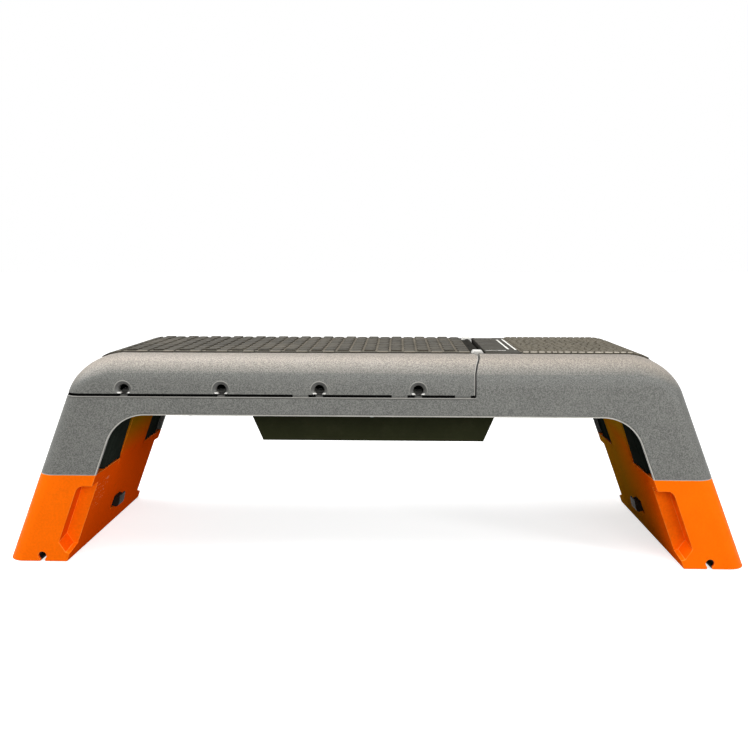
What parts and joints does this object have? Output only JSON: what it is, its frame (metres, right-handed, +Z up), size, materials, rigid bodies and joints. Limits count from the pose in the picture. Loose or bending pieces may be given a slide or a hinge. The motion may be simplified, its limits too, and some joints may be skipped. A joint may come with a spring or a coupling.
{
  "type": "adjustable aerobic step",
  "caption": "Adjustable exercise step: grey deck on two folding orange end legs, with rubber treads, a lifting backrest on a prop, tube slots and a tray below",
  "frame": {"origin": "on the floor under the middle of the footprint", "axes": "X runs along the deck with the backrest's free end at -X, Y runs across the deck with the near side at -Y, Z is up"},
  "size_m": [1.2464, 0.36, 0.3562],
  "materials": {
    "grey_shell": "speckled satin moulding",
    "rubber_tread": "ribbed non-slip rubber",
    "orange_leg": "satin moulding",
    "black_plastic": "fine grain",
    "olive_tray": "fine grain",
    "well_liner": "fine grain",
    "light_grey": "satin moulding",
    "steel": "zinc plated",
    "rubber_pad": "matt rubber"
  },
  "bodies": {
    "deck": {"main_frame": "grey_shell", "seat_tread": "rubber_tread", "blank_plate": "rubber_tread", "hinge_pin": "steel", "hinge_cap_near": "light_grey", "hinge_cap_far": "light_grey", "base_tray": "olive_tray", "prop_rack_near": "black_plastic", "prop_rack_far": "black_plastic", "left_leg_well": "well_liner", "right_leg_well": "well_liner", "left_leg_pin": "steel", "right_leg_pin": "steel", "tray_screw_near_left": "steel", "tray_screw_near_middle": "steel", "tray_screw_near_right": "steel", "tray_screw_far_left": "steel", "tray_screw_far_middle": "steel", "tray_screw_far_right": "steel"},
    "backrest": {"backrest_shell": "grey_shell", "backrest_tread": "rubber_tread", "prop_clip_near": "black_plastic", "prop_clip_far": "black_plastic"},
    "prop": {"prop_bar": "steel"},
    "left_leg": {"left_leg": "orange_leg", "left_leg_sole": "black_plastic", "left_leg_pad_inner": "rubber_pad", "left_leg_pad_outer": "rubber_pad", "left_latch_housing": "black_plastic", "left_latch_spring": "steel"},
    "right_leg": {"right_leg": "orange_leg", "right_leg_sole": "black_plastic", "right_leg_pad_inner": "rubber_pad", "right_leg_pad_outer": "rubber_pad", "right_latch_housing": "black_plastic", "right_latch_spring": "steel"},
    "left_latch": {"left_latch": "black_plastic"},
    "right_latch": {"right_latch": "black_plastic"}
  },
  "joints": [
    {"name": "left_leg_fold", "type": "hinge", "parent": "deck", "child": "left_leg", "pos_m": [-0.45513, 0, 0.23], "axis": [0, -1, 0], "range_deg": [0, 110.7]},
    {"name": "right_leg_fold", "type": "hinge", "parent": "deck", "child": "right_leg", "pos_m": [0.45513, 0, 0.23], "axis": [0, 1, 0], "range_deg": [0, 110.7]},
    {"name": "backrest_lift", "type": "hinge", "parent": "deck", "child": "backrest", "pos_m": [0.177, 0, 0.349], "axis": [0, 1, 0], "range_deg": [0, 60]},
    {"name": "prop_swing", "type": "hinge", "parent": "backrest", "child": "prop", "pos_m": [-0.03725, 0, 0.331], "axis": [0, 1, 0], "range_deg": [-120, 0]},
    {"name": "left_latch_slide", "type": "slide", "parent": "left_leg", "child": "left_latch", "axis": [-0.3535, 0, -0.9354], "range_m": [0, 0.006], "stiffness_N_per_m": 400, "springref_m": -0.004, "deforming": ["left_latch_spring"]},
    {"name": "right_latch_slide", "type": "slide", "parent": "right_leg", "child": "right_latch", "axis": [0.3535, 0, -0.9354], "range_m": [0, 0.006], "stiffness_N_per_m": 400, "springref_m": -0.004, "deforming": ["right_latch_spring"]}
  ],
  "couplings": [
    {"joint": "prop_swing", "follows": "backrest_lift", "ratio": -2}
  ]
}
